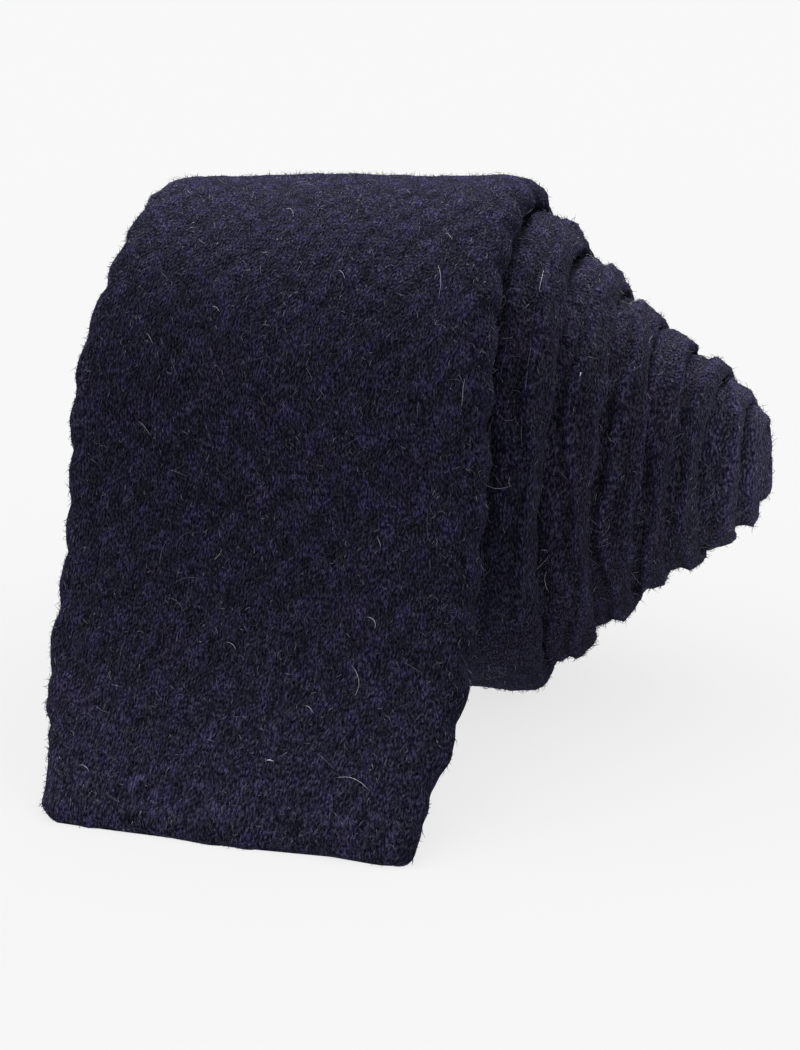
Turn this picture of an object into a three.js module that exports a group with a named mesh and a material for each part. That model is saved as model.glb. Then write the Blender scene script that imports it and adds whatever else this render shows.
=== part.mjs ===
// A square-ended wool knit tie, rolled up for display.
//
// The tie is one long flattened tube of knit. It is wound from the narrow end outwards, and the
// winding is drawn out sideways, so the turns stand past each other as a stepped cone. The wide
// blade is the outermost turn. Its free end leaves the front of the roll and slopes down to the
// surface in front of it.
//
// Millimetres, +Z up. X runs along the roll's axis, towards the tip of the cone. The flap lies
// towards -Y. The roll and the toe of the flap rest on z = 0.

import * as THREE from 'three';

// Driving dimensions

const bladeWidth = 69; // across the wide blade
const hemWidth = 57; // across the square end, where the hem draws the knit in
const neckWidth = 50; // across the narrowest part, which goes round the neck
const tailWidth = 55; // across the narrow end
const bladeThickness = 5; // both layers of the lofty knit, loosely wound
const hemThickness = 3.6; // the same two layers at the square end, in plain knit
const coreThickness = 3.6; // the same two layers where they are wound tight
const edgeRound = 3.2; // how far in from an edge the rounded fold reaches

const woundTurns = 8.3; // from the front of the blade in to the narrow end
const coreRadius = 3.7; // of the innermost bend, to the middle of the knit
const loosestGap = 2.5; // air between the outermost turns
const tightestGap = 0.4; // air between the innermost turns
const slideOut = 43.5; // how far the winding is drawn out sideways, along X
const skewOut = 4; // how far the front of an outer turn stands to +X of its top and bottom
const pressedFlat = 0.6; // how deep the roll's own weight flattens the turn that it rests on

const flapStart = 14; // degrees above the roll's mid-height at which the flap leaves it
const flapLean = 46.2; // degrees from straight down, at the foot of the slope
const flapVeer = 7.3; // how far the toe lies to +X of the blade
const toeLean = 52; // degrees from straight down, at the square end
const toeBend = 30; // radius at which the flap bends from one lean to the other
const toePressed = 0.3; // how deep the toe's own weight flattens the edge that it rests on
const hemLength = 13; // of the plain hem band at the square end
const drawIn = 34; // length over which the blade narrows to the hem
const endRound = 2.4; // how far in from a free end its rounded fold reaches
const endGap = 0.3; // between one length of knit and the next

const stationsPerTurn = 32;
const stationsInFlap = 14;

// Sections along the winding. along runs from the front of the blade to the narrow end, as a
// share of the winding. gap is a share of the step from tightestGap to loosestGap, slide of
// slideOut, skew of skewOut, neck of the step from bladeWidth to neckWidth, tail of the step
// from neckWidth to tailWidth, and thin of the step from bladeThickness to coreThickness.

const winding = [
  { along: 0, gap: 1, slide: 0, skew: 1, neck: 0, tail: 0, thin: 0 },
  { along: 0.06, gap: 1, slide: 0.09, skew: 1, neck: 0.2, tail: 0, thin: 0 },
  { along: 0.12, gap: 0.95, slide: 0.175, skew: 1, neck: 0.26, tail: 0, thin: 0 },
  { along: 0.18, gap: 0.9, slide: 0.27, skew: 0.85, neck: 0.34, tail: 0, thin: 0 },
  { along: 0.24, gap: 0.85, slide: 0.355, skew: 0.7, neck: 0.42, tail: 0, thin: 0.05 },
  { along: 0.36, gap: 0.45, slide: 0.51, skew: 0.4, neck: 0.8, tail: 0, thin: 0.35 },
  { along: 0.48, gap: 0, slide: 0.63, skew: 0.2, neck: 1, tail: 0, thin: 1 },
  { along: 0.6, gap: 0, slide: 0.765, skew: 0, neck: 1, tail: 0.1, thin: 1 },
  { along: 0.72, gap: 0, slide: 0.88, skew: 0, neck: 1, tail: 0.5, thin: 1 },
  { along: 0.84, gap: 0, slide: 0.96, skew: 0, neck: 1, tail: 0.9, thin: 1 },
  { along: 1, gap: 0, slide: 1, skew: 0, neck: 1, tail: 1, thin: 1 },
];

// Bend of the flap between the roll and the toe. lean is a share of the step from flapStart to
// flapLean.

const flapBend = [
  { along: 0.0, lean: 0.0 },
  { along: 0.15, lean: 0.4 },
  { along: 0.3, lean: 0.57 },
  { along: 0.5, lean: 0.74 },
  { along: 0.75, lean: 0.9 },
  { along: 1.0, lean: 1.0 },
];

// The lengths of the strip, as shares of the winding

const bladeEnd = 0.24;
const neckEnd = 0.6;

const fullTurn = 2 * Math.PI;

// The value of a table's column at a share along it, on a smooth curve through its rows.
function lookUp(table, column, along) {
  const last = table.length - 1;
  let row = 0;
  while (row < last - 1 && table[row + 1].along < along) row += 1;
  const slope = (i) => {
    const before = table[Math.max(i - 1, 0)];
    const after = table[Math.min(i + 1, last)];
    return (after[column] - before[column]) / (after.along - before.along);
  };
  const from = table[row];
  const to = table[row + 1];
  const span = to.along - from.along;
  const t = THREE.MathUtils.clamp((along - from.along) / span, 0, 1);
  const start = 2 * t ** 3 - 3 * t ** 2 + 1;
  const rise = t ** 3 - 2 * t ** 2 + t;
  const fall = t ** 3 - t ** 2;
  const bend = rise * slope(row) + fall * slope(row + 1);
  return start * from[column] + (1 - start) * to[column] + bend * span;
}

// Sizes of the strip at a number of turns in from the front of the blade

function thicknessAt(turn) {
  const thin = lookUp(winding, 'thin', turn / woundTurns);
  return bladeThickness + thin * (coreThickness - bladeThickness);
}

function widthAt(turn) {
  const neck = lookUp(winding, 'neck', turn / woundTurns);
  const tail = lookUp(winding, 'tail', turn / woundTurns);
  return bladeWidth + neck * (neckWidth - bladeWidth) + tail * (tailWidth - neckWidth);
}

function pitchAt(turn) {
  const gap = lookUp(winding, 'gap', turn / woundTurns);
  return thicknessAt(turn) + tightestGap + gap * (loosestGap - tightestGap);
}

// Each turn lies on the one inside it, so a radius is the core's radius and every pitch between.
function radiusAt(turn) {
  const slices = 120;
  const slice = (woundTurns - turn) / slices;
  let radius = coreRadius;
  for (let i = 0; i < slices; i += 1) radius += slice * pitchAt(turn + (i + 0.5) * slice);
  return radius;
}

const lowestTurn = 0.75;
const axisHeight = radiusAt(lowestTurn) + thicknessAt(lowestTurn) / 2 - pressedFlat;

// A station of the wound strip: the middle of its section, the way that its outer face looks,
// its width and its thickness.
function woundStation(turn) {
  const angle = turn * fullTurn;
  const radius = radiusAt(turn);
  const thickness = thicknessAt(turn);
  const width = widthAt(turn);
  const slide = slideOut * lookUp(winding, 'slide', turn / woundTurns);
  const skew = skewOut * (lookUp(winding, 'skew', turn / woundTurns) * Math.cos(angle) - 1);
  const rightEdge = bladeWidth / 2 + slide + skew;
  const height = axisHeight + radius * Math.sin(angle);
  const pressed = height < thickness / 2;
  return {
    middle: new THREE.Vector3(
      rightEdge - width / 2,
      -radius * Math.cos(angle),
      Math.max(height, thickness / 2),
    ),
    outward: pressed
      ? new THREE.Vector3(0, 0, -1)
      : new THREE.Vector3(0, -Math.cos(angle), Math.sin(angle)),
    width,
    thickness,
  };
}

// The flap: a slope with the bends of its table, then an arc down to the toe

const startTurn = flapStart / 360;
const startLean = THREE.MathUtils.degToRad(flapStart);
const fullLean = THREE.MathUtils.degToRad(flapLean);
const endLean = THREE.MathUtils.degToRad(toeLean);
const flapTop = woundStation(startTurn);

function slopeLean(along) {
  return startLean + (fullLean - startLean) * lookUp(flapBend, 'lean', along);
}

// How far forward and down a share of the slope goes, for each millimetre of the whole slope.
function slopeRun(along) {
  const slices = 40;
  const run = { forward: 0, down: 0 };
  for (let i = 0; i < slices; i += 1) {
    const lean = slopeLean((along * (i + 0.5)) / slices);
    run.forward += (Math.sin(lean) * along) / slices;
    run.down += (Math.cos(lean) * along) / slices;
  }
  return run;
}

// The rounded end touches the surface with the lowest point of its quarter ellipses.
const endDown = endRound * Math.cos(endLean);
const endOut = (hemThickness / 2) * Math.sin(endLean);
const toeHeight = Math.hypot(endDown, endOut) - endDown - toePressed;
const toeDrop = toeBend * (Math.sin(endLean) - Math.sin(fullLean));
const slopeLength = (flapTop.middle.z - toeHeight - toeDrop) / slopeRun(1).down;
const toeArc = toeBend * (endLean - fullLean);
const flapLength = slopeLength + toeArc;

// A station of the flap at a distance from the roll
function flapStation(distance) {
  const onSlope = Math.min(distance, slopeLength);
  const onArc = Math.max(distance - slopeLength, 0);
  const run = slopeRun(onSlope / slopeLength);
  const lean = onArc > 0 ? fullLean + onArc / toeBend : slopeLean(onSlope / slopeLength);
  const arcForward = toeBend * (Math.cos(fullLean) - Math.cos(fullLean + onArc / toeBend));
  const arcDown = toeBend * (Math.sin(fullLean + onArc / toeBend) - Math.sin(fullLean));
  const narrowed = THREE.MathUtils.smoothstep(distance, flapLength - drawIn, flapLength);
  return {
    middle: new THREE.Vector3(
      flapTop.middle.x + (flapVeer * distance) / flapLength,
      flapTop.middle.y - run.forward * slopeLength - arcForward,
      flapTop.middle.z - run.down * slopeLength - arcDown,
    ),
    outward: new THREE.Vector3(0, -Math.cos(lean), Math.sin(lean)),
    width: bladeWidth + narrowed * (hemWidth - bladeWidth),
    thickness: bladeThickness + narrowed * (hemThickness - bladeThickness),
  };
}

// A free end is a rounded fold: the section shrinks towards it as a quarter of an ellipse does.
function rounded(station, fromEnd) {
  const left = 1 - fromEnd / endRound;
  const share = Math.max(Math.sqrt(1 - left * left), 0.3);
  return {
    ...station,
    width: station.width - 2 * edgeRound * (1 - share),
    thickness: station.thickness * share,
  };
}

const roundSteps = [0, 0.15, 0.5, 1];

// One section of the strip: flat faces, and edges rounded as half an ellipse. What would go
// below the surface is flattened on it.
function sectionPoints(station) {
  const { middle, outward, width, thickness } = station;
  const flat = width / 2 - edgeRound;
  const points = [];
  for (const side of [1, -1]) {
    for (const degrees of [-90, -45, 0, 45, 90]) {
      const turned = THREE.MathUtils.degToRad(degrees);
      const across = side * (flat + edgeRound * Math.cos(turned));
      const out = side * Math.sin(turned) * (thickness / 2);
      const point = middle.clone().addScaledVector(outward, out);
      points.push(new THREE.Vector3(point.x + across, point.y, Math.max(point.z, 0)));
    }
  }
  return points;
}

// A closed solid through the sections at its stations
function lengthOfKnit(name, stations, color) {
  const sections = stations.map(sectionPoints);
  const around = sections[0].length;
  const positions = sections.flat().flatMap((p) => [p.x, p.y, p.z]);
  const faces = [];
  for (let i = 0; i < sections.length - 1; i += 1) {
    for (let j = 0; j < around; j += 1) {
      const next = (j + 1) % around;
      const a = i * around + j;
      const b = i * around + next;
      const c = (i + 1) * around + next;
      const d = (i + 1) * around + j;
      faces.push(a, c, b, a, d, c);
    }
  }
  const end = (sections.length - 1) * around;
  for (let j = 1; j < around - 1; j += 1) {
    faces.push(0, j, j + 1);
    faces.push(end, end + j + 1, end + j);
  }
  const geometry = new THREE.BufferGeometry();
  geometry.setAttribute('position', new THREE.Float32BufferAttribute(positions, 3));
  geometry.setIndex(faces);
  geometry.computeVertexNormals();
  const material = new THREE.MeshStandardMaterial({ color, roughness: 0.95, metalness: 0 });
  const mesh = new THREE.Mesh(geometry, material);
  mesh.name = name;
  return mesh;
}

// The stations of a wound length, from one turn to another, with those of every turn in line
function woundStations(fromTurn, toTurn) {
  const turns = [fromTurn];
  const first = Math.ceil(fromTurn * stationsPerTurn);
  for (let k = first; (k + 0.5) / stationsPerTurn < toTurn; k += 1) {
    turns.push((k + 0.5) / stationsPerTurn);
  }
  turns.push(toTurn);
  return turns.map(woundStation);
}

// How many turns an end gap takes up at a turn
function gapTurns(turn) {
  return endGap / (fullTurn * radiusAt(turn));
}

// The plain hem band, from the square end back
function bladeHem() {
  const free = roundSteps.map((step) => {
    const fromEnd = step * endRound;
    return rounded(flapStation(flapLength - fromEnd), fromEnd);
  });
  const inner = [0.45, 0.7, 1].map((share) => flapStation(flapLength - share * hemLength));
  return lengthOfKnit('blade_hem', [...free, ...inner], 0x252633);
}

// The rest of the flap and the turns that show the wide blade
function frontBlade() {
  const reach = flapLength - hemLength - endGap;
  const flap = [];
  for (let i = 0; i < stationsInFlap; i += 1) {
    flap.push(flapStation(reach * (1 - i / stationsInFlap)));
  }
  const wound = woundStations(startTurn, bladeEnd * woundTurns);
  return lengthOfKnit('front_blade', [...flap, ...wound], 0x22222f);
}

// The length that goes round the neck
function neckBand() {
  const from = bladeEnd * woundTurns;
  const wound = woundStations(from + gapTurns(from), neckEnd * woundTurns);
  return lengthOfKnit('neck_band', wound, 0x20202c);
}

// The narrow end, at the middle of the roll
function tailEnd() {
  const from = neckEnd * woundTurns;
  const endLength = (fromEnd) => woundTurns - fromEnd / (fullTurn * coreRadius);
  const wound = woundStations(from + gapTurns(from), endLength(endRound));
  const free = roundSteps
    .slice(0, -1)
    .reverse()
    .map((step) => rounded(woundStation(endLength(step * endRound)), step * endRound));
  return lengthOfKnit('tail_end', [...wound, ...free], 0x1e1e29);
}

// The whole tie, with its reference point in the middle of its floor outline

const strip = new THREE.Group();
strip.add(bladeHem(), frontBlade(), neckBand(), tailEnd());

const outline = new THREE.Box3().setFromObject(strip);
const centre = outline.getCenter(new THREE.Vector3());
strip.position.set(-centre.x, -centre.y, -outline.min.z);

const tie = new THREE.Group();
tie.add(strip);

export default tie;
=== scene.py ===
# %% [markdown]
# # A rolled knit tie
#
# The tie is one long flattened tube of lofty wool knit. It is rolled up from its narrow end, the
# roll is drawn out sideways into a stepped cone, and the square end of the wide blade slopes
# down in front of it. Everything here is worked out from one path: the middle line of the
# strip, measured from the square end inwards.
#
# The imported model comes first. It is the fixed frame that every new surface has to fit.

# %% Load the frame
import math

import bpy
import numpy as np
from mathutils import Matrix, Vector


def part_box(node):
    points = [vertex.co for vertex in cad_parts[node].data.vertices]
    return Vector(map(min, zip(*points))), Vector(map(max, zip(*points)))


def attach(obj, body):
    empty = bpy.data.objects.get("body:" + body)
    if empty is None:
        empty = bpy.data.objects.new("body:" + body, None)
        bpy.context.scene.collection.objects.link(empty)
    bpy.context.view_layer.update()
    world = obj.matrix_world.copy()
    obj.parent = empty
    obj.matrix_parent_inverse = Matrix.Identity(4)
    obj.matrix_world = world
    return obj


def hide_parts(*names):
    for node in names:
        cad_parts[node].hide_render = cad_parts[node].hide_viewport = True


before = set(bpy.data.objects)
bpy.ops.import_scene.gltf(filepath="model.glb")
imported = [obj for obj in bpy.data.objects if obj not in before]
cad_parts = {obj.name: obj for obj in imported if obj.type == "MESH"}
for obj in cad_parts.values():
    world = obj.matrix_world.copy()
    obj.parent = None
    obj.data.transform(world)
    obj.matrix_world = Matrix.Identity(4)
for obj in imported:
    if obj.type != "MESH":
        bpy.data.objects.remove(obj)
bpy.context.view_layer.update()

# %% [markdown]
# ## The camera
#
# The photo was taken from a little above the table and a little to the right of the blade. A
# camera can be matched by eye or fitted to the outline. It was fitted here, because the roll's
# height and the blade's width then agree in one view. There is no roll, shift or depth of field.

# %% Camera
MM = 0.001
looked_at = Vector((-12.471, 20.129, 27.82)) * MM
camera_azimuth = math.radians(17.65)
camera_elevation = math.radians(12.16)
camera_distance = 299 * MM

camera_data = bpy.data.cameras.new("camera")
camera_data.sensor_width = 36
camera_data.lens = 55.33
camera_data.clip_start = 0.01
camera = bpy.data.objects.new("camera", camera_data)
bpy.context.scene.collection.objects.link(camera)
camera.location = looked_at + camera_distance * Vector((
    math.cos(camera_elevation) * math.sin(camera_azimuth),
    -math.cos(camera_elevation) * math.cos(camera_azimuth),
    math.sin(camera_elevation),
))
camera.rotation_euler = (looked_at - camera.location).to_track_quat("-Z", "Y").to_euler()
bpy.context.scene.camera = camera
print("camera at", [round(value, 4) for value in camera.location])

# %% [markdown]
# ## The sizes of the strip
#
# A tie like this is knitted as a tube and pressed flat, so it has two layers, a flat face on
# each side and a soft fold at each edge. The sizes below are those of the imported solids. The
# table says how the strip changes from the front of the blade in to the narrow end: how loosely
# it is wound, how far it has slid sideways, and how wide and thick it is.

# %% Sizes
blade_width = 69 * MM
hem_width = 57 * MM
neck_width = 50 * MM
tail_width = 55 * MM
blade_thickness = 5 * MM
hem_thickness = 3.6 * MM
core_thickness = 3.6 * MM
edge_round = 3.2 * MM

wound_turns = 8.3
core_radius = 3.7 * MM
loosest_gap = 2.5 * MM
tightest_gap = 0.4 * MM
slide_out = 43.5 * MM
skew_out = 4 * MM
pressed_flat = 0.6 * MM
lowest_turn = 0.75

flap_start = math.radians(14)
flap_lean = math.radians(46.2)
flap_veer = 7.3 * MM
toe_lean = math.radians(52)
toe_bend = 30 * MM
toe_pressed = 0.3 * MM
hem_length = 13 * MM
draw_in = 34 * MM
end_round = 2.4 * MM

blade_end = 0.24
neck_end = 0.6

# Columns: along, gap, slide, skew, neck, tail, thin
winding = np.array([
    (0, 1, 0, 1, 0, 0, 0),
    (0.06, 1, 0.09, 1, 0.2, 0, 0),
    (0.12, 0.95, 0.175, 1, 0.26, 0, 0),
    (0.18, 0.9, 0.27, 0.85, 0.34, 0, 0),
    (0.24, 0.85, 0.355, 0.7, 0.42, 0, 0.05),
    (0.36, 0.45, 0.51, 0.4, 0.8, 0, 0.35),
    (0.48, 0, 0.63, 0.2, 1, 0, 1),
    (0.6, 0, 0.765, 0, 1, 0.1, 1),
    (0.72, 0, 0.88, 0, 1, 0.5, 1),
    (0.84, 0, 0.96, 0, 1, 0.9, 1),
    (1, 0, 1, 0, 1, 1, 1),
])
GAP, SLIDE, SKEW, NECK, TAIL, THIN = range(1, 7)

# Columns: along, lean
flap_bend = np.array([(0, 0), (0.15, 0.4), (0.3, 0.57), (0.5, 0.74), (0.75, 0.9), (1, 1)])
LEAN = 1
print("winding table:", winding.shape, "flap table:", flap_bend.shape)

# %% [markdown]
# ## The middle line
#
# The wound part is a spiral. Each turn lies on the one inside it, so its radius is the core's
# radius plus every thickness and gap in between, added up from the middle outwards. The flap is
# a slope that leans further and further forward, then a shallow arc down to the square end,
# which rests on the table with its lower edge. The same smooth look-up reads both tables.


# %% Look-up and wound part
def look_up(rows, column, along):
    """A table's column at shares along it: a cubic between each two rows, whose slope at a row
    is that of the straight line between the rows on its two sides."""
    at, value = rows[:, 0], rows[:, column]
    number = np.arange(len(at))
    low, high = np.maximum(number - 1, 0), np.minimum(number + 1, len(at) - 1)
    slope = (value[high] - value[low]) / (at[high] - at[low])
    row = np.clip(np.searchsorted(at, along) - 1, 0, len(at) - 2)
    span = at[row + 1] - at[row]
    t = np.clip((along - at[row]) / span, 0, 1)
    start = 2 * t**3 - 3 * t**2 + 1
    bend = (t**3 - 2 * t**2 + t) * slope[row] + (t**3 - t**2) * slope[row + 1]
    return start * value[row] + (1 - start) * value[row + 1] + bend * span


def running_sum(step, value):
    """The integral of value along evenly spaced points, by the trapezium rule, from zero."""
    return np.concatenate([[0], np.cumsum((value[1:] + value[:-1]) / 2)]) * step


turn = np.linspace(0, wound_turns, 16001)
share_wound = turn / wound_turns
turn_thickness = blade_thickness + look_up(winding, THIN, share_wound) * (
    core_thickness - blade_thickness
)
turn_width = (
    blade_width
    + look_up(winding, NECK, share_wound) * (neck_width - blade_width)
    + look_up(winding, TAIL, share_wound) * (tail_width - neck_width)
)
turn_gap = tightest_gap + look_up(winding, GAP, share_wound) * (loosest_gap - tightest_gap)
outwards = running_sum(turn[1] - turn[0], turn_thickness + turn_gap)
turn_radius = core_radius + outwards[-1] - outwards
axis_height = (
    np.interp(lowest_turn, turn, turn_radius)
    + np.interp(lowest_turn, turn, turn_thickness) / 2
    - pressed_flat
)
turn_angle = 2 * np.pi * turn
turn_right = (
    blade_width / 2
    + slide_out * look_up(winding, SLIDE, share_wound)
    + skew_out * (look_up(winding, SKEW, share_wound) * np.cos(turn_angle) - 1)
)
turn_x = turn_right - turn_width / 2
turn_y = -turn_radius * np.cos(turn_angle)
turn_z = axis_height + turn_radius * np.sin(turn_angle)
print("roll radius", round(float(turn_radius[0]) / MM, 2), "mm, axis at",
      round(float(axis_height) / MM, 2), "mm")

# %% Flap and whole path
share_down = np.linspace(0, 1, 2001)
slope_lean = flap_start + (flap_lean - flap_start) * look_up(flap_bend, LEAN, share_down)
run_forward = running_sum(share_down[1], np.sin(slope_lean))
run_down = running_sum(share_down[1], np.cos(slope_lean))
top_turn = flap_start / (2 * np.pi)
top_x, top_y, top_z = (np.interp(top_turn, turn, part) for part in (turn_x, turn_y, turn_z))
end_down, end_out = end_round * math.cos(toe_lean), hem_thickness / 2 * math.sin(toe_lean)
toe_height = math.hypot(end_down, end_out) - end_down - toe_pressed
toe_drop = toe_bend * (math.sin(toe_lean) - math.sin(flap_lean))
slope_length = (top_z - toe_height - toe_drop) / run_down[-1]
flap_length = slope_length + toe_bend * (toe_lean - flap_lean)

down = np.linspace(0, flap_length, 3001)
on_slope = np.minimum(down, slope_length) / slope_length
on_arc = np.maximum(down - slope_length, 0) / toe_bend
flap_angle = np.interp(on_slope, share_down, slope_lean) + on_arc
flap_x = top_x + flap_veer * down / flap_length
flap_y = (
    top_y
    - slope_length * np.interp(on_slope, share_down, run_forward)
    - toe_bend * (math.cos(flap_lean) - np.cos(flap_lean + on_arc))
)
flap_z = (
    top_z
    - slope_length * np.interp(on_slope, share_down, run_down)
    - toe_bend * (np.sin(flap_lean + on_arc) - math.sin(flap_lean))
)
narrowed = np.clip((down - flap_length + draw_in) / draw_in, 0, 1)
narrowed = narrowed**2 * (3 - 2 * narrowed)
flap_width = blade_width + narrowed * (hem_width - blade_width)
flap_thickness = blade_thickness + narrowed * (hem_thickness - blade_thickness)

wound = turn > top_turn
line = np.concatenate([
    np.stack([flap_x, flap_y, flap_z], 1)[::-1],
    np.stack([turn_x, turn_y, turn_z], 1)[wound],
])
line_angle = np.concatenate([flap_angle[::-1], turn_angle[wound]])
line_width = np.concatenate([flap_width[::-1], turn_width[wound]])
line_thickness = np.concatenate([flap_thickness[::-1], turn_thickness[wound]])
line_turn = np.concatenate([np.zeros(len(down)), turn[wound]])
line_along = np.concatenate([[0], np.cumsum(np.linalg.norm(np.diff(line, axis=0), axis=1))])

blunt_end = 0.3 * hem_thickness / 2
place = (
    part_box("front_blade")[1].x - np.interp(blade_end * wound_turns, turn, turn_right),
    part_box("blade_hem")[0].y - line[0, 1] + blunt_end * math.cos(toe_lean),
)
line[:, :2] += place
strip_length = float(line_along[-1])
print("strip length", round(strip_length / MM), "mm, flap", round(flap_length / MM, 1),
      "mm, placed by", [round(float(value) / MM, 3) for value in place])

# %% [markdown]
# ## Where the roll presses on the table
#
# Cloth that carries weight goes flat where it rests. The lowest turn can't go below half its
# thickness, and there its face looks straight down. A short running average takes the corner
# off where the flat begins.


# %% Pressed flat
def averaged(value, reach, along):
    """Each value as the mean of those within reach on both sides along the line."""
    even = np.arange(0, along[-1], 0.1 * MM)
    count = int(reach / (0.1 * MM))
    padded_value = np.pad(np.interp(even, along, value), count, mode="edge")
    mean = np.convolve(padded_value, np.ones(2 * count + 1) / (2 * count + 1), mode="valid")
    return np.interp(along, even, mean)


pressed = (line[:, 2] < line_thickness / 2) & (line_turn > 0)
line[:, 2] = np.where(pressed, line_thickness / 2, line[:, 2])
line_angle = np.where(pressed, 1.5 * np.pi, line_angle)
near_press = np.abs(line_turn - lowest_turn) < 0.12
line[:, 2] = np.where(near_press, averaged(line[:, 2], 2.5 * MM, line_along), line[:, 2])
line_angle = np.where(near_press, averaged(line_angle, 2.5 * MM, line_along), line_angle)
print("length pressed flat", round(float(np.ptp(line_along[pressed])) / MM, 1), "mm")

# %% [markdown]
# ## A grid over the whole strip
#
# The strip's surface is a function of two parameters: how far along the strip, and how far round
# the tube. Rows are closest at the two free ends, where the fold rounds off, and elsewhere fine
# enough to carry the raised cells of the knit. Round the tube, most points lie on the outer face,
# fewer on the inner one, and some go round each folded edge.

# %% Rows and columns
row_step = 0.82 * MM
break_places = [
    0,
    hem_length,
    float(np.interp(blade_end * wound_turns, line_turn, line_along)),
    float(np.interp(neck_end * wound_turns, line_turn, line_along)),
    strip_length,
]
round_angles = np.radians([8, 20, 33, 46, 59, 71, 80])
near_end = end_round * (1 - np.cos(round_angles))


def rows_between(start, stop):
    """Evenly spaced places from start to just before stop."""
    count = max(2, round((stop - start) / row_step))
    return np.linspace(start, stop, count, endpoint=False)


row_place = np.concatenate([
    near_end,
    rows_between(end_round, break_places[1]),
    rows_between(break_places[1], break_places[2]),
    rows_between(break_places[2], break_places[3]),
    rows_between(break_places[3], strip_length - end_round),
    [strip_length - end_round],
    strip_length - near_end[::-1],
])
row_breaks = [0] + [int(np.abs(row_place - at).argmin()) for at in break_places[1:4]]
row_breaks.append(len(row_place) - 1)

outer_points, fold_points, inner_points = 78, 9, 34


def round_the_tube():
    """For each point round the section: its share of the flat part across, and the cosine and
    sine that carry it round a fold. It starts at the right of the outer face."""
    flats = [
        (np.linspace(1, -1, outer_points, endpoint=False), 1),
        (np.linspace(-1, 1, inner_points, endpoint=False), -1),
    ]
    parts = []
    for across, side in flats:
        still = np.zeros(len(across))
        parts.append(np.stack([across, still, still + side], 1))
        turned = side * np.pi / 2 + np.linspace(0, np.pi, fold_points, endpoint=False)
        parts.append(np.stack([turned * 0 - side, np.cos(turned), np.sin(turned)], 1))
    return np.concatenate(parts)


tube = round_the_tube()
print("rows", len(row_place), "columns", len(tube), "breaks", row_breaks)

# %% [markdown]
# ## The relief of the knit
#
# The knit is a soft checker of raised and sunken cells, each about 4 mm across and 4.6 mm long.
# The edges swell and pinch in time with it, so they look scalloped, and the inner turns have
# ridges beside their edges. The hem at the square end is plain. A product of two cosines gives
# such a checker, a few long random waves bend its lines, and shorter ones stand for lumps in the
# wool. It is modelled, and not only a bump, because it shows in the outline.

# %% Relief
cell_across = 8.4 * MM
cell_along = 9.2 * MM
cell_height = 0.08 * MM
scallop_depth = 0.46 * MM
groove_depth = 0.14 * MM
rib_height = 0.55 * MM
rib_reach = 13 * MM
rib_pitch = 3.9 * MM
fine_rib_pitch = 2.3 * MM
lump_height = 0.06 * MM
rng = np.random.default_rng(41)


def random_waves(across, along, shortest, longest, count):
    """A sum of count sine waves in random directions, with lengths from shortest to longest,
    scaled to a spread of one."""
    angle = rng.uniform(0, 2 * np.pi, count)
    length = rng.uniform(shortest, longest, count)
    phase = rng.uniform(0, 2 * np.pi, count)
    total = np.zeros(np.broadcast(across, along).shape)
    for one_angle, one_length, one_phase in zip(angle, length, phase):
        reach = across * math.cos(one_angle) + along * math.sin(one_angle)
        total += np.sin(2 * np.pi * reach / one_length + one_phase)
    return total * math.sqrt(2 / count)


def smooth_step(value, start, stop):
    """Zero below start, one above stop, and a smooth rise between."""
    t = np.clip((value - start) / (stop - start), 0, 1)
    return t * t * (3 - 2 * t)


row_width, row_thickness, row_angle, row_turn = (
    np.interp(row_place, line_along, part)
    for part in (line_width, line_thickness, line_angle, line_turn)
)
row_middle = np.stack([np.interp(row_place, line_along, line[:, k]) for k in range(3)], 1)
from_end = np.minimum(row_place, strip_length - row_place)
roundness = np.sqrt(np.clip(1 - np.clip(1 - from_end / end_round, 0, 1) ** 2, 0, 1))

flat_share, fold_cos, fold_sin = tube.T
row_flat = (row_width / 2 - edge_round)[:, None]
half_thick = (row_thickness / 2 * roundness)[:, None]
reach_round = (edge_round * roundness)[:, None]
outward_of_fold = np.sign(flat_share) * np.abs(fold_cos)
across = row_flat * flat_share + reach_round * outward_of_fold
out = half_thick * fold_sin

fold_arc = np.arcsin(np.clip(np.abs(fold_cos), 0, 1)) * 2.85 * MM
wale_place = row_flat * flat_share + np.sign(flat_share) * fold_arc
edge_weight = smooth_step(np.abs(fold_cos), 0.0, 0.9)[None, :] + 0 * across
face_side = np.sign(fold_sin)[None, :]
along_row = row_place[:, None] + 0 * across

bent_across = wale_place + 0.45 * MM * random_waves(wale_place, along_row, 18 * MM, 45 * MM, 9)
bent_along = along_row + 0.45 * MM * random_waves(wale_place, along_row, 18 * MM, 45 * MM, 9)
strength = 1 + 0.35 * random_waves(wale_place, along_row, 9 * MM, 22 * MM, 9)
cells = np.cos(2 * np.pi * bent_across / cell_across) * np.cos(2 * np.pi * bent_along / cell_along)
cells = np.tanh(1.5 * cells) / math.tanh(1.5)
plain_hem = smooth_step(row_place, 11 * MM, 16 * MM)[:, None]
tight = (1 - 0.5 * smooth_step(row_turn, 2.2, 4.5))[:, None]
pinch_place = bent_along + 1.3 * MM * np.sign(flat_share)
pinch = np.sqrt(np.cos(np.pi * pinch_place / cell_along) ** 2 + 0.03)
scallops = (2 * pinch - 1.7) * (0.5 + 0.5 * strength)
edge_groove = np.exp(-(((np.abs(wale_place) - row_flat - 0.2 * MM) / (0.9 * MM)) ** 2))
from_edge = row_flat + 4.5 * MM - np.abs(wale_place)
inner_turn = smooth_step(row_turn, 0.75, 1.1)[:, None]
rib_strength = (0.08 + 0.92 * inner_turn) * np.exp(-((from_edge / rib_reach) ** 2))
rib_place = from_edge + 0.8 * MM * random_waves(0.3 * wale_place, along_row, 16 * MM, 70 * MM, 7)
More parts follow.
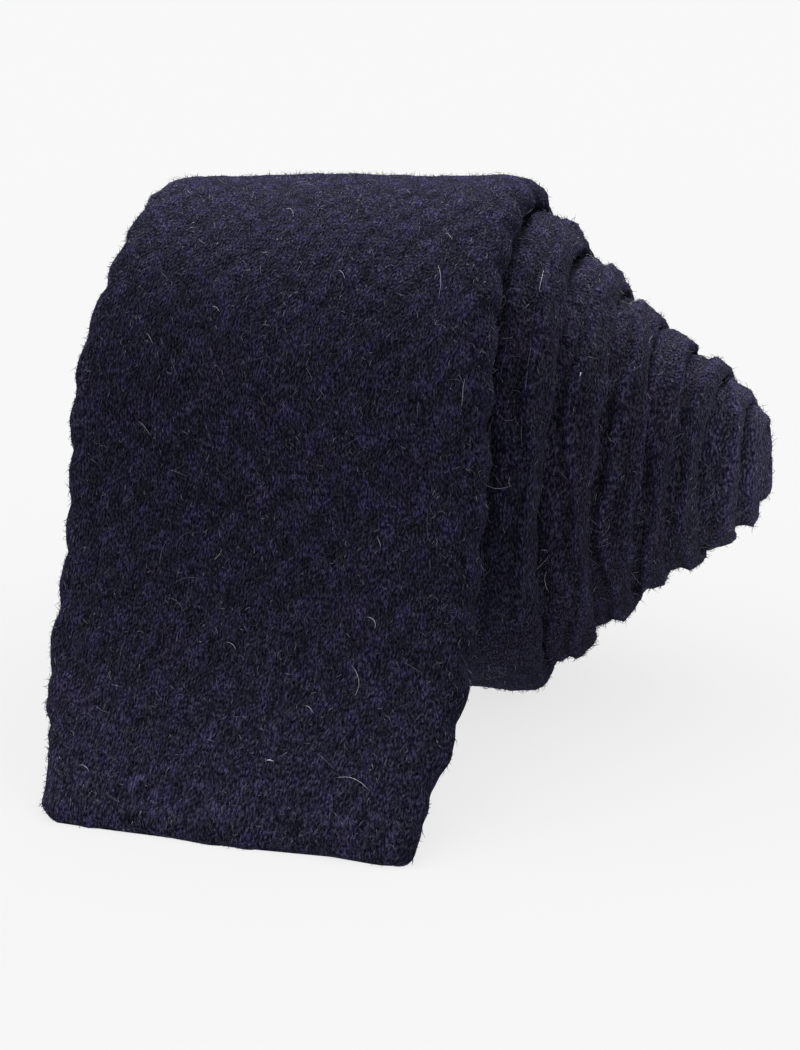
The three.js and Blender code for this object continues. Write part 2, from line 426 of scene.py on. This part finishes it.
ribs = 0.85 * np.cos(2 * np.pi * rib_place / rib_pitch) * (0.5 + 0.5 * strength)
ribs += 0.5 * np.cos(2 * np.pi * rib_place / fine_rib_pitch + 1.3)
lumps = random_waves(wale_place, along_row, 1.9 * MM, 4.5 * MM, 26)
relief = (
    cell_height * cells * strength * plain_hem * tight * face_side * (1 - edge_weight)
    - groove_depth * edge_groove
    + rib_height * ribs * rib_strength * (0.4 + 0.6 * tight)
    + lump_height * lumps
)
relief *= np.minimum(roundness * 1.2, 1)[:, None]
edge_swell = (
    scallop_depth * scallops * (0.25 + 0.75 * plain_hem) * tight * (1 - 0.85 * inner_turn)
    + 0.3 * MM * random_waves(0 * across, along_row, 22 * MM, 70 * MM, 6)
    - 0.7 * MM * (1 - plain_hem)
) * edge_weight
# Painted light and shade of the relief: the wool is coloured lighter on raised cells and ribs and
# darker in sunken cells and between the ribs.
relief_shade = cells * plain_hem * face_side * (1 - edge_weight)
relief_shade += 2.2 * ribs * rib_strength * inner_turn
relief_range = [round(float(height) / MM, 2) for height in (relief.min(), relief.max())]
print("relief from", relief_range[0], "to", relief_range[1], "mm")

# %% [markdown]
# ## The surface itself
#
# Each row's section stands across the middle line: its width runs along the roll's axis, and its
# thickness along the way that the outer face looks. The relief moves each point out of the face
# or out of the fold. The loose outer turn also waves a little. Each turn swells out half way to
# the turn outside it, and its right edge rounds over, as a circle does, down on to the turn
# inside, so the steps of the cone lie softly on one another. What would go below the table is
# laid flat on it.

# %% Surface
fold_normal = np.stack([
    outward_of_fold / edge_round + 0 * across,
    fold_sin / (row_thickness / 2)[:, None] + 0 * across,
], 2)
fold_normal /= np.linalg.norm(fold_normal, axis=2, keepdims=True)
loose = (1 - smooth_step(row_turn, 0.9, 1.6))[:, None]
sway = 0.35 * MM * loose * random_waves(wale_place, along_row, 40 * MM, 90 * MM, 5)
to_right_edge = across - (row_width / 2)[:, None]
rounded_reach = 8.5 * MM
soft_sink = 0.8 * MM
near_right = 1 - np.sqrt(1 - np.clip(to_right_edge / rounded_reach + 1, 0, 1) ** 2)
sink = (0.5 * np.interp(row_turn, turn, turn_gap) + soft_sink) * smooth_step(row_turn, 0.03, 0.2)
sink *= 0.82 + 0.18 * np.sin(row_angle)
outer_gap = np.interp(row_turn - 1, turn, turn_gap) * smooth_step(row_turn, 0.95, 1.15)
away_from_edge = 1 - smooth_step(to_right_edge, -8 * MM, -1 * MM)
loft = 0.5 * outer_gap[:, None] * away_from_edge * smooth_step(fold_sin, -0.2, 0.6)
across_moved = across + fold_normal[:, :, 0] * relief + np.sign(flat_share) * edge_swell
out_moved = out + fold_normal[:, :, 1] * relief + loft - sink[:, None] * near_right
out_moved += sway * smooth_step(row_place, 2 * MM, 25 * MM)[:, None]
outward = np.stack([0 * row_angle, -np.cos(row_angle), np.sin(row_angle)], 1)
surface = row_middle[:, None, :] + out_moved[:, :, None] * outward[:, None, :]
surface[:, :, 0] += across_moved
hem_wave = 0.35 * MM * random_waves(wale_place, 0 * across, 5 * MM, 19 * MM, 6)
hem_wave *= 1 - smooth_step(row_place, 0, 7 * MM)[:, None]
surface[:, :, 1] += hem_wave * math.sin(toe_lean)
surface[:, :, 2] += hem_wave * math.cos(toe_lean)
surface[:, :, 2] = np.maximum(surface[:, :, 2], 0)

along_slope = np.gradient(surface, axis=0)
round_slope = np.roll(surface, -1, axis=1) - np.roll(surface, 1, axis=1)
normals = np.cross(round_slope, along_slope)
normals /= np.maximum(np.linalg.norm(normals, axis=2, keepdims=True), 1e-12)
faces_out = (normals * (surface - row_middle[:, None, :])).sum(2).mean() > 0
normals = normals if faces_out else -normals
print("surface", surface.shape, "normals pointed", "out" if faces_out else "in, so turned round")

# %% Pieces of the strip
columns = len(tube)


def closed_length(name, first, last):
    """A closed mesh of the strip from one row to another: a quad between each two rows and each
    two columns, and one face over each end."""
    points = surface[first : last + 1].reshape(-1, 3)
    row, column = np.meshgrid(np.arange(last - first), np.arange(columns), indexing="ij")
    beside = (column + 1) % columns
    quads = np.stack([
        row * columns + column,
        row * columns + beside,
        (row + 1) * columns + beside,
        (row + 1) * columns + column,
    ], 2).reshape(-1, 4)
    start_face = np.arange(columns)[::-1]
    end_face = (last - first) * columns + np.arange(columns)
    if not faces_out:
        quads, start_face, end_face = quads[:, ::-1], start_face[::-1], end_face[::-1]
    mesh = bpy.data.meshes.new(name)
    faces = quads.tolist() + [start_face.tolist(), end_face.tolist()]
    mesh.from_pydata(points.tolist(), [], faces)
    mesh.update()
    mesh.shade_smooth()
    mesh.normals_split_custom_set_from_vertices(normals[first : last + 1].reshape(-1, 3).tolist())
    knit_place = mesh.attributes.new("knit_place", "FLOAT_VECTOR", "POINT")
    local = np.stack([wale_place, along_row, out], 2)[first : last + 1] / MM
    knit_place.data.foreach_set("vector", local.astype(np.float32).ravel())
    # The painted shade of the relief, carried to the material as a point attribute.
    painted_relief_shade = mesh.attributes.new("painted_relief_shade", "FLOAT", "POINT")
    painted_relief_shade.data.foreach_set("value", relief_shade[first : last + 1].astype(np.float32).ravel())
    piece = bpy.data.objects.new(name, mesh)
    bpy.context.scene.collection.objects.link(piece)
    return piece


names = ["knit_hem", "knit_blade", "knit_neck", "knit_tail"]
knit_hem, knit_blade, knit_neck, knit_tail = (
    closed_length(name, first, last)
    for name, first, last in zip(names, row_breaks[:-1], row_breaks[1:])
)
for piece in (knit_hem, knit_blade, knit_neck, knit_tail):
    print(piece.name, "faces", len(piece.data.polygons))

# %% [markdown]
# ## Wool
#
# The yarn is a navy wool with blue and charcoal fibres in it. A plain colour would look like
# plastic, so three things are mixed. The blue and charcoal patches are random mottling plus
# painted light on the raised cells and painted shade in the sunken cells and between the ribs.
# There is a finer speckle of single fibres, and painted shade in the gaps between the stitches.
# The free end is painted paler, as painted light on the end that faces up more, and the inner
# turns are greyer and closer to plum. The stitches are V shapes: their two legs lean together
# along each wale. They are too fine for the mesh and are made as a bump from the strip's own
# coordinates, which the attribute knit_place holds in millimetres.

# %% Node helpers
wale = 1.1
course = 0.85


def new_material(name):
    """An empty node material with its shader and output."""
    material = bpy.data.materials.new(name)
    material.use_nodes = True
    tree = material.node_tree
    tree.nodes.clear()
    shader = tree.nodes.new("ShaderNodeBsdfPrincipled")
    output = tree.nodes.new("ShaderNodeOutputMaterial")
    tree.links.new(shader.outputs["BSDF"], output.inputs["Surface"])
    return material, tree, shader


def plug(tree, value, socket):
    """Sets a socket to a number or links it to another node's output."""
    if isinstance(value, bpy.types.NodeSocket):
        tree.links.new(value, socket)
    else:
        socket.default_value = value


def calculated(tree, operation, first, second=0.0, third=0.0):
    """The output of one Math node."""
    node = tree.nodes.new("ShaderNodeMath")
    node.operation = operation
    for value, socket in zip((first, second, third), node.inputs):
        plug(tree, value, socket)
    return node.outputs[0]


def attribute(tree, name, output="Vector"):
    """One output of an Attribute node."""
    node = tree.nodes.new("ShaderNodeAttribute")
    node.attribute_name = name
    return node.outputs[output]


def cloudy(tree, vector, scale, detail=3.0, roughness=0.55):
    """The grey output of a Noise Texture."""
    node = tree.nodes.new("ShaderNodeTexNoise")
    plug(tree, vector, node.inputs["Vector"])
    node.inputs["Scale"].default_value = scale
    node.inputs["Detail"].default_value = detail
    node.inputs["Roughness"].default_value = roughness
    return node.outputs["Fac"]


def stretched(tree, vector, scale):
    """The vector with each part scaled by itself, by a Mapping node."""
    node = tree.nodes.new("ShaderNodeMapping")
    plug(tree, vector, node.inputs["Vector"])
    node.inputs["Scale"].default_value = scale
    return node.outputs["Vector"]


def ramp(tree, value, stops):
    """A Color Ramp through stops of place and colour."""
    node = tree.nodes.new("ShaderNodeValToRGB")
    plug(tree, value, node.inputs["Fac"])
    elements = node.color_ramp.elements
    while len(elements) < len(stops):
        elements.new(0.5)
    for element, (at, colour) in zip(elements, stops):
        element.position = at
        element.color = (*colour, 1)
    return node.outputs["Color"]


def mixed(tree, share, first, second, blend="MIX"):
    """The colour output of a Mix node."""
    node = tree.nodes.new("ShaderNodeMix")
    node.data_type = "RGBA"
    node.blend_type = blend
    plug(tree, share, node.inputs["Factor"])
    for value, name in ((first, "A"), (second, "B")):
        socket = next(s for s in node.inputs if s.name == name and s.type == "RGBA")
        plug(tree, value if isinstance(value, bpy.types.NodeSocket) else (*value, 1), socket)
    return next(s for s in node.outputs if s.type == "RGBA")


print("wale", wale, "mm, course", course, "mm")


# %% Wool materials
def wool_material(name, stitch_depth):
    """Mottled wool, with painted light and shade of its relief and between the stitches, and V
    stitches that follow the strip.
    """
    material, tree, shader = new_material(name)
    local = attribute(tree, "knit_place")
    relief_shading = attribute(tree, "painted_relief_shade", "Fac")
    parts = tree.nodes.new("ShaderNodeSeparateXYZ")
    tree.links.new(local, parts.inputs[0])
    wander = cloudy(tree, local, 0.55, 2.0)
    wandered = calculated(tree, "MULTIPLY_ADD", wander, 1.5, parts.outputs["X"])
    in_wale = calculated(tree, "PINGPONG", wandered, wale / 2)
    climb = calculated(tree, "MULTIPLY_ADD", in_wale, 0.9, parts.outputs["Y"])
    climb = calculated(tree, "MULTIPLY_ADD", wander, 1.1, climb)
    turns = calculated(tree, "MULTIPLY", climb, 2 * math.pi / course)
    loops = calculated(tree, "SINE", turns)
    leg = calculated(tree, "SINE", calculated(tree, "MULTIPLY", in_wale, 2 * math.pi / wale))
    stitch = calculated(tree, "MULTIPLY_ADD", loops, 0.35, leg)

    hairs = cloudy(tree, stretched(tree, local, (3.4, 1.5, 3.4)), 1.0, 4.0, 0.7)
    patches = cloudy(tree, stretched(tree, local, (0.46, 0.36, 0.46)), 1.0, 3.0, 0.6)
    speckle = cloudy(tree, stretched(tree, local, (2.2, 0.9, 2.2)), 1.6, 2.0, 0.6)

    streaks = cloudy(tree, stretched(tree, local, (1.5, 0.13, 1.5)), 1.0, 3.0, 0.6)
    streaky = calculated(tree, "MULTIPLY", patches, 0.75)
    streaky = calculated(tree, "MULTIPLY_ADD", streaks, 0.3, streaky)
    streaky = calculated(tree, "ADD", streaky, -0.02)
    # The patches are random mottling plus painted light on raised cells and painted shade in sunken
    # cells and between the ribs.
    mottle_and_relief_shade = calculated(tree, "MULTIPLY_ADD", relief_shading, 0.065, streaky)
    wool = ramp(tree, mottle_and_relief_shade, [
        (0.36, (0.0042, 0.0044, 0.0084)),
        (0.5, (0.0061, 0.0060, 0.0138)),
        (0.64, (0.0094, 0.0087, 0.0258)),
    ])
    fibres = ramp(tree, speckle, [
        (0.36, (0.12, 0.12, 0.15)),
        (0.5, (0.85, 0.85, 0.87)),
        (0.64, (3.2, 3.2, 2.5)),
    ])
    on_turns = tree.nodes.new("ShaderNodeMapRange")
    plug(tree, parts.outputs["Y"], on_turns.inputs["Value"])
    for socket, number in (("From Min", 180), ("From Max", 420), ("To Min", 0), ("To Max", 0.4)):
        on_turns.inputs[socket].default_value = number
    wool = mixed(tree, on_turns.outputs["Result"], wool, (0.0074, 0.0066, 0.0134))
    wool = mixed(tree, 1.0, wool, fibres, "MULTIPLY")
    plum = ramp(tree, cloudy(tree, local, 0.09, 3.0), [
        (0.54, (1, 1.02, 1)),
        (0.74, (1.25, 1, 1.1)),
    ])
    wool = mixed(tree, 1.0, wool, plum, "MULTIPLY")
    clouds = ramp(tree, cloudy(tree, local, 0.2, 2.0), [
        (0.38, (0.91, 0.91, 0.91)),
        (0.62, (1.09, 1.09, 1.09)),
    ])
    wool = mixed(tree, 1.0, wool, clouds, "MULTIPLY")
    # Painted light: the free end is coloured up to a third paler for the extra light on the square
    # end, which faces up more. Past 200 mm the inner turns are tinted a little warmer.
    metres_along = calculated(tree, "MULTIPLY", parts.outputs["Y"], MM)
    painted_toe_light_and_turn_tint = ramp(tree, metres_along, [
        (0.01, (1.34, 1.34, 1.31)),
        (0.03, (1, 1, 1)),
        (0.2, (1, 1, 1)),
        (0.42, (1.06, 1.03, 0.97)),
    ])
    wool = mixed(tree, 1.0, wool, painted_toe_light_and_turn_tint, "MULTIPLY")
    # Painted shade in the gaps between the stitches: the colour is darker where the stitch pattern
    # is low.
    in_gap = calculated(tree, "MULTIPLY_ADD", stitch, 0.38, 0.45)
    gap_shade = ramp(tree, in_gap, [(0.12, (0.35, 0.35, 0.38)), (0.6, (1, 1, 1))])
    wool = mixed(tree, 0.75, wool, mixed(tree, 1.0, wool, gap_shade, "MULTIPLY"))
    tree.links.new(wool, shader.inputs["Base Color"])

    height = calculated(tree, "MULTIPLY_ADD", hairs, 2.2, stitch)
    bump = tree.nodes.new("ShaderNodeBump")
    bump.inputs["Strength"].default_value = 1.0
    bump.inputs["Distance"].default_value = stitch_depth
    tree.links.new(height, bump.inputs["Height"])
    tree.links.new(bump.outputs["Normal"], shader.inputs["Normal"])
    shader.inputs["Roughness"].default_value = 0.95
    shader.inputs["Specular IOR Level"].default_value = 0.0
    shader.inputs["Sheen Weight"].default_value = 0.03
    shader.inputs["Sheen Roughness"].default_value = 0.6
    shader.inputs["Sheen Tint"].default_value = (0.55, 0.55, 0.85, 1)
    return material


textured_wool = wool_material("textured_wool", 0.16 * MM)
plain_wool = wool_material("plain_wool", 0.13 * MM)
knit_hem.data.materials.append(plain_wool)
for piece in (knit_blade, knit_neck, knit_tail):
    piece.data.materials.append(textured_wool)
print("materials", textured_wool.name, plain_wool.name)

# %% [markdown]
# ## Fuzz
#
# Brushed wool has a halo of short loose hairs, and they soften every edge of the tie. A particle
# system would be lost in the export, and a blurred texture has no outline. A blurred texture has
# no outline, so each hair is a tiny closed spike with a bend in it, rooted in the knit and leaning
# along it. They are all worked out together as arrays. Only the faces and folds that can be seen
# carry them.


# %% Fuzz
def unit(vectors):
    """The vectors, each divided by its own length."""
    return vectors / np.maximum(np.linalg.norm(vectors, axis=-1, keepdims=True), 1e-12)


row_size = np.linalg.norm(np.diff(surface, axis=0), axis=2)
column_size = np.linalg.norm(np.roll(surface, -1, axis=1) - surface, axis=2)[:-1]
patch_size = row_size * column_size
upper_side = (fold_sin > -0.45)[None, :] & (patch_size > 0)
outermost = (row_turn < 1.03)[:-1, None]
in_front = (row_turn < 0.2)[:-1, None]
at_right = (wale_place > row_flat - 13 * MM) | (wale_place < -row_flat - 0.5 * MM)
near_edge = at_right[:-1] & ~outermost
ring = np.radians([0, 120, 240])
spike_faces = np.array([
    (0, 2, 1), (0, 1, 4), (0, 4, 3), (1, 2, 5), (1, 5, 4), (2, 0, 3), (2, 3, 5),
    (3, 4, 6), (4, 5, 6), (5, 3, 6),
])


def shaded_mesh(name, points, faces, shade, material):
    """An object from points and faces, with the shade of each point as an attribute."""
    mesh = bpy.data.meshes.new(name)
    mesh.from_pydata(points.tolist(), [], faces.tolist())
    mesh.update()
    mesh.shade_smooth()
    hair_shade = mesh.attributes.new("hair_shade", "FLOAT", "POINT")
    hair_shade.data.foreach_set("value", shade.astype(np.float32))
    mesh.materials.append(material)
    piece = bpy.data.objects.new(name, mesh)
    bpy.context.scene.collection.objects.link(piece)
    return piece


def wool_fuzz(name, where, count, shortest, longest, thick, material):
    """Bent spikes at random places, as many on each patch of the grid as its area says. A
    spike leans at a random angle from the surface, and its upper half turns off at random."""
    chance = (where * patch_size).ravel()
    spot = rng.choice(len(chance), count, p=chance / chance.sum())
    row, column = np.divmod(spot, columns)
    beside = (column + 1) % columns
    down, right = rng.random((2, count, 1))
    root = (
        (1 - down) * ((1 - right) * surface[row, column] + right * surface[row, beside])
        + down * ((1 - right) * surface[row + 1, column] + right * surface[row + 1, beside])
    )
    normal = normals[row, column]
    lengthwise = unit(surface[row + 1, column] - surface[row, column])
    sideways = unit(np.cross(normal, lengthwise))
    spin = rng.normal(0, 0.7, (count, 1)) + np.pi * rng.integers(0, 2, (count, 1))
    lift = np.radians(rng.uniform(3, 36, (count, 1)))
    first = np.cos(lift) * (np.cos(spin) * lengthwise + np.sin(spin) * sideways)
    first += np.sin(lift) * normal
    second = unit(first + 0.5 * rng.normal(size=(count, 3)) - 0.15 * normal)
    half = rng.uniform(shortest, longest, (count, 1)) / 2
    root = root - 0.12 * MM * normal
    elbow = root + half * first
    tip = elbow + half * second
    side_one = unit(np.cross(first, rng.normal(size=(count, 3))))
    side_two = np.cross(first, side_one)
    circle = (
        np.cos(ring)[None, :, None] * side_one[:, None]
        + np.sin(ring)[None, :, None] * side_two[:, None]
    ) * thick / 2
    points = np.concatenate([
        root[:, None] + circle,
        elbow[:, None] + 0.8 * circle,
        tip[:, None],
    ], 1)
    points[:, :, 2] = np.maximum(points[:, :, 2], 0.02 * MM)
    faces = (7 * np.arange(count)[:, None, None] + spike_faces).reshape(-1, 3)
    shade = np.repeat(rng.random(count), 7)
    return shaded_mesh(name, points.reshape(-1, 3), faces, shade, material)


def hair_material(name, stops):
    """Matt fibre whose colour comes from each hair's own shade and a slow drift along it."""
    material, tree, shader = new_material(name)
    shade = attribute(tree, "hair_shade", "Fac")
    coordinates = tree.nodes.new("ShaderNodeTexCoord")
    drift = cloudy(tree, coordinates.outputs["Object"], 180, 2.0)
    level = calculated(tree, "MULTIPLY_ADD", drift, 0.12, calculated(tree, "SUBTRACT", shade, 0.06))
    tree.links.new(ramp(tree, level, stops), shader.inputs["Base Color"])
    shader.inputs["Roughness"].default_value = 0.9
    shader.inputs["Specular IOR Level"].default_value = 0.1
    return material


fuzz_wool = hair_material("fuzz_wool", [
    (0.0, (0.0050, 0.0050, 0.009)),
    (0.6, (0.0148, 0.0148, 0.026)),
    (0.88, (0.039, 0.038, 0.055)),
    (1.0, (0.12, 0.12, 0.14)),
])
front_fuzz = wool_fuzz(
    "front_fuzz", upper_side & outermost & in_front, 19500,
    0.6 * MM, 1.8 * MM, 0.11 * MM, fuzz_wool,
)
back_fuzz = wool_fuzz(
    "back_fuzz", upper_side & outermost & ~in_front, 12000,
    0.7 * MM, 2.0 * MM, 0.09 * MM, fuzz_wool,
)
turns_fuzz = wool_fuzz(
    "turns_fuzz", upper_side & near_edge, 19500,
    0.7 * MM, 2.2 * MM, 0.1 * MM, fuzz_wool,
)
for piece in (front_fuzz, back_fuzz, turns_fuzz):
    print(piece.name, len(piece.data.polygons), "faces")

# %% [markdown]
# ## Stray fibres
#
# A few longer, paler fibres have worked loose and lie curled on the knit. The table holds those
# that can be told apart in the photo, in strip coordinates; many fainter ones are strewn between
# them. Each is a thin tube along a curve of even bend, laid on the strip and held a little off it.

# %% Stray fibres
# Columns: across, along, heading, length, curl, thickness (mm and degrees)
seen_fibres = np.array([
    (22.9, 95.1, 166, 6.8, 30, 0.050),
    (-6.3, 107.4, 136, 3.4, 60, 0.060),
    (7.1, 92.6, 136, 2.3, 40, 0.055),
    (22.8, 101.6, 136, 2.3, 30, 0.055),
    (31.7, 96.7, 112, 2.2, 50, 0.050),
    (27.9, 365.0, 152, 3.7, 30, 0.065),
    (31.6, 366.7, -161, 4.2, -40, 0.065),
    (32.1, 75.4, 179, 4.3, 50, 0.050),
    (31.1, 69.6, 90, 1.6, 40, 0.060),
    (28.1, 331.0, -84, 5.0, 60, 0.065),
    (28.1, 330.6, -20, 1.6, 90, 0.060),
    (-6.4, 45.8, -154, 2.2, 60, 0.060),
    (18.5, 49.1, 154, 1.8, 40, 0.055),
    (17.7, 36.0, 136, 2.6, 110, 0.080),
    (-4.0, 30.2, 117, 2.2, 70, 0.065),
    (15.8, 28.6, 164, 5.4, 80, 0.065),
    (24.9, 545.6, -130, 5.0, 40, 0.065),
    (24.6, 543.1, 179, 4.1, -50, 0.060),
    (-22.5, 66.3, 136, 3.4, 40, 0.050),
    (15.7, 10.6, 100, 5.0, 60, 0.065),
    (9.8, 21.2, 120, 1.8, 60, 0.065),
    (-23.5, 8.1, 111, 2.4, 80, 0.065),
    (-23.0, 80.3, 136, 2.3, 40, 0.050),
    (-12.7, 85.2, 117, 1.8, 50, 0.055),
    (28.0, 572.6, 129, 0.8, 0, 0.26),
    (5.5, 12.2, 90, 1.0, 0, 0.22),
])
faint_count = 420
faint_along = rng.uniform(4, 0.97 * strip_length / MM, faint_count)
faint_turn = np.interp(faint_along * MM, row_place, row_turn)
faint_reach = np.interp(faint_along * MM, row_place, row_flat[:, 0]) / MM
faint_share = np.where(
    faint_turn < 1, rng.uniform(-0.95, 0.98, faint_count), rng.uniform(0.72, 1, faint_count))
faint_fibres = np.stack([
    faint_reach * faint_share,
    faint_along,
    rng.uniform(-180, 180, faint_count),
    rng.uniform(1.5, 5.5, faint_count),
    rng.normal(0, 70, faint_count),
    rng.uniform(0.04, 0.065, faint_count),
], 1)
fibres = np.concatenate([seen_fibres, faint_fibres])
fibre_shade = np.concatenate([np.ones(len(seen_fibres)), rng.uniform(0, 0.75, faint_count)])


def on_strip(grid, across, along):
    """A grid's value on the outer face at places across and along the strip: the mean of the
    four points round each place, weighted by nearness."""
    row = np.clip(np.searchsorted(row_place, along) - 1, 0, len(row_place) - 2)
    down = ((along - row_place[row]) / (row_place[row + 1] - row_place[row]))[..., None]
    share = np.clip(across / row_flat[row, 0], -1, 1)
    column_at = (1 - share) / 2 * outer_points
    column = np.minimum(column_at.astype(int), outer_points - 1)
    right = (column_at - column)[..., None]
    upper = (1 - right) * grid[row, column] + right * grid[row, column + 1]
    lower = (1 - right) * grid[row + 1, column] + right * grid[row + 1, column + 1]
    return (1 - down) * upper + down * lower


def laid_fibres(name, rows, shade, material):
    """One closed three-sided tube for each row of a fibre table. Its heading turns evenly by the
    curl over its length, it lifts off in the middle, and it thins out to both ends."""
    share = np.linspace(0, 1, 9)
    start_across, start_along, heading, length, curl, thickness = rows.T[:, :, None]
    course_angle = np.radians(heading + curl * (share - 0.5))
    step = length / (len(share) - 1)
    across = start_across + np.cumsum(np.sin(course_angle), 1) * step
    along = start_along + np.cumsum(np.cos(course_angle), 1) * step
    along = np.clip(along, 0.5, strip_length / MM - 0.5)
    base = on_strip(surface, across * MM, along * MM)
    away = unit(on_strip(normals, across * MM, along * MM))
    middle = base + away * (0.12 + 0.3 * np.sin(np.pi * share))[None, :, None] * MM
    ahead = unit(np.gradient(middle, axis=1))
    side = unit(np.cross(ahead, away))
    up = np.cross(side, ahead)
    radius = 0.425 * thickness * MM * (0.35 + 0.65 * np.sin(np.pi * share) ** 0.5)
    circle = np.cos(ring)[:, None] * up[:, :, None] + np.sin(ring)[:, None] * side[:, :, None]
    points = middle[:, :, None] + radius[:, :, None, None] * circle
    points[..., 2] = np.maximum(points[..., 2], 0.02 * MM)
    joint, corner = np.meshgrid(np.arange(len(share) - 1), np.arange(3), indexing="ij")
    here, beside = 3 * joint + corner, 3 * joint + (corner + 1) % 3
    walls = np.concatenate([
        np.stack([here, beside, beside + 3], 2).reshape(-1, 3),
        np.stack([here, beside + 3, here + 3], 2).reshape(-1, 3),
        [(0, 2, 1), (3 * len(share) - 3, 3 * len(share) - 2, 3 * len(share) - 1)],
    ])
    faces = (3 * len(share) * np.arange(len(rows))[:, None, None] + walls).reshape(-1, 3)
    point_shade = np.repeat(shade, 3 * len(share))
    return shaded_mesh(name, points.reshape(-1, 3), faces, point_shade, material)


pale_wool = hair_material("pale_wool", [
    (0.0, (0.05, 0.05, 0.075)),
    (0.7, (0.15, 0.15, 0.19)),
    (0.95, (0.38, 0.37, 0.42)),
])
stray_fibres = laid_fibres("stray_fibres", fibres, fibre_shade, pale_wool)
print(stray_fibres.name, len(fibres), "fibres", len(stray_fibres.data.polygons), "faces")

# %% [markdown]
# ## Light and table
#
# The photo is a plain studio shot on near white: bright on top of the roll, dark on its front and
# darkest in the valley beside the blade, with almost no shadow on the table. One light could do
# it, but its shadow would be heavy. So the table and the wool are lit by lights of their own, as
# a studio does with flags and a cut-out: one from above and behind, a low one from the left that
# leaves the valley dark, and two weak panels on the right for the cone and its tip. The table's
# grey is chosen so that, once lit, it meets the world's white at the horizon.

# %% Light and table
bpy.context.scene.view_settings.view_transform = "Standard"
pale = 0.94
world = bpy.data.worlds.new("studio")
world.use_nodes = True
world.node_tree.nodes["Background"].inputs["Color"].default_value = (pale, pale, pale, 1)
bpy.context.scene.world = world

wool_pieces = bpy.data.collections.new("wool_pieces")
table_pieces = bpy.data.collections.new("table_pieces")
strip_pieces = (knit_hem, knit_blade, knit_neck, knit_tail)
for piece in (*strip_pieces, front_fuzz, back_fuzz, turns_fuzz, stray_fibres):
    wool_pieces.objects.link(piece)


def soft_sun(name, energy, width, towards, receivers):
    """A sun of some width in degrees that shines along a direction, on some pieces only."""
    data = bpy.data.lights.new(name, "SUN")
    data.energy = energy
    data.angle = math.radians(width)
    light = bpy.data.objects.new(name, data)
    light.rotation_euler = Vector(towards).to_track_quat("-Z", "Y").to_euler()
    light.light_linking.receiver_collection = receivers
    light.light_linking.blocker_collection = receivers
    bpy.context.scene.collection.objects.link(light)
    return light


def soft_panel(name, energy, size, spread, place, towards):
    """A small square light in millimetres and degrees, which shines on the wool only."""
    data = bpy.data.lights.new(name, "AREA")
    data.energy = energy
    data.size = size * MM
    data.spread = math.radians(spread)
    light = bpy.data.objects.new(name, data)
    light.location = Vector(place) * MM
    light.rotation_euler = Vector(towards).to_track_quat("-Z", "Y").to_euler()
    light.light_linking.receiver_collection = wool_pieces
    bpy.context.scene.collection.objects.link(light)
    return light


top_light = soft_sun("top_light", 17.8, 42, (0.15, -0.79, -1), wool_pieces)
low_light = soft_sun("low_light", 2.95, 40, (0.7, 0.62, 0.16), wool_pieces)
table_light = soft_sun("table_light", 11.8, 60, (0, 0, -1), table_pieces)
cone_light = soft_panel("cone_light", 0.02, 60, 60, (140, -80, 40), (-90, 90, 5))
tip_light = soft_panel("tip_light", 0.005, 30, 18, (110, -60, 60), (-49, 71, -17))

table_size = 30
table_mesh = bpy.data.meshes.new("table")
table_corners = table_size * np.array([(-1, -1, 0), (1, -1, 0), (1, 1, 0), (-1, 1, 0)])
table_mesh.from_pydata(table_corners.tolist(), [], [(0, 1, 2, 3)])
table = bpy.data.objects.new("table", table_mesh)
bpy.context.scene.collection.objects.link(table)
table_finish, table_tree, table_shader = new_material("matt_table")
table_shader.inputs["Base Color"].default_value = (0.2, 0.2, 0.2, 1)
table_shader.inputs["Roughness"].default_value = 1.0
table_shader.inputs["Specular IOR Level"].default_value = 0.0
table_mesh.materials.append(table_finish)
table_pieces.objects.link(table)
lights = (top_light, low_light, table_light, cone_light, tip_light)
print("lights", [light.name for light in lights])

# %% [markdown]
# ## Into the frame
#
# Each length of the strip rides on the imported model's one body and stands for its own solid,
# which is hidden. The loose hairs and fibres ride on the same body.

# %% Frame
solids = {
    "knit_hem": "blade_hem",
    "knit_blade": "front_blade",
    "knit_neck": "neck_band",
    "knit_tail": "tail_end",
}
for index, piece in enumerate(strip_pieces):
    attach(piece, "root")
    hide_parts(solids[piece.name])
    loose_pieces = [front_fuzz, back_fuzz, stray_fibres] if piece is knit_blade else []
    if piece is knit_neck:
        loose_pieces = [turns_fuzz]
    for loose_piece in loose_pieces:
        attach(loose_piece, "root")
